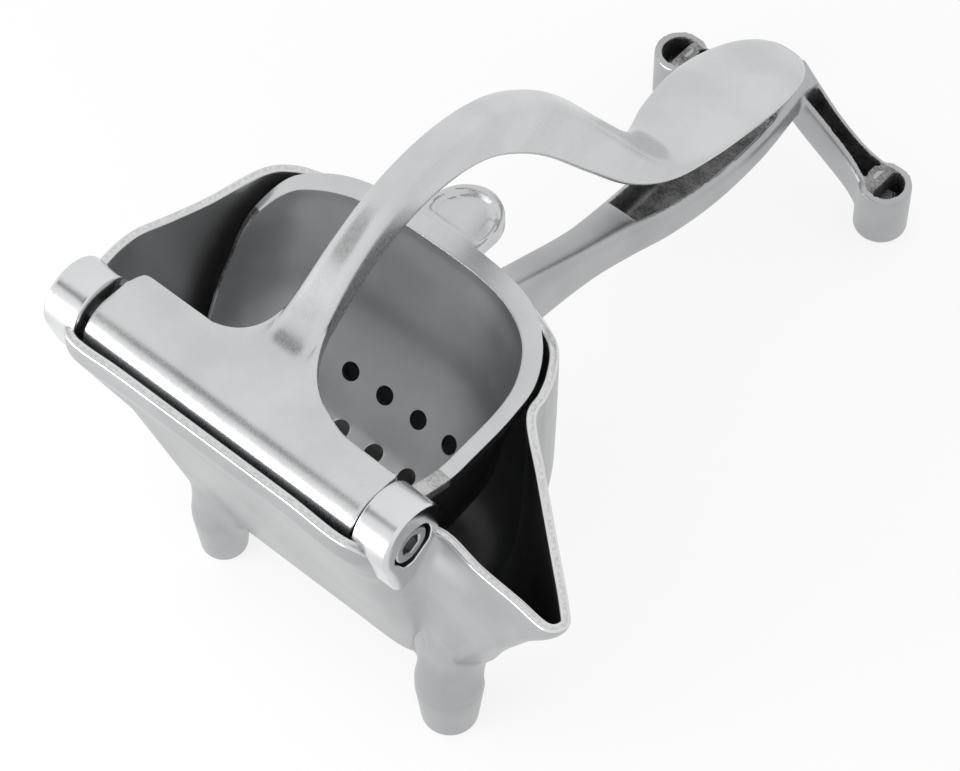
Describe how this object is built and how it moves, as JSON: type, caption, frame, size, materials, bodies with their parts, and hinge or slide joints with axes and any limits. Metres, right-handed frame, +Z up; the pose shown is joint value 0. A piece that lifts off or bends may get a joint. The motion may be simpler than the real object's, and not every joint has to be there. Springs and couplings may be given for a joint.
{
  "type": "lemon squeezer",
  "caption": "Hinged hand press for lemons: cast trough with a pouring beak and front feet, lift-out strainer bowl, arched lever with a thumb spoon, base handle with a cross foot.",
  "frame": {"origin": "middle of the part's outline seen from above, on the table", "axes": "+X along the hinge towards the pouring beak, +Y back along the handles, +Z up"},
  "size_m": [0.1578, 0.2492, 0.1467],
  "materials": {
    "cast_body": "satin polished casting",
    "cast_strainer": "satin casting",
    "cast_lever": "polished casting",
    "steel": "machined"
  },
  "bodies": {
    "base": {"trough_body": "cast_body", "base_handle": "cast_body", "cross_foot": "cast_body", "strainer_basket": "cast_strainer", "hinge_shaft": "steel", "hinge_screws": "steel"},
    "lever": {"lever_hub": "cast_lever", "lever_arm": "cast_lever", "press_jaw": "cast_lever"}
  },
  "joints": [
    {"name": "lever_hinge", "type": "hinge", "parent": "base", "child": "lever", "pos_m": [-0.02082, -0.11089, 0.106], "axis": [1, 0, 0], "range_deg": [0, 100]}
  ]
}
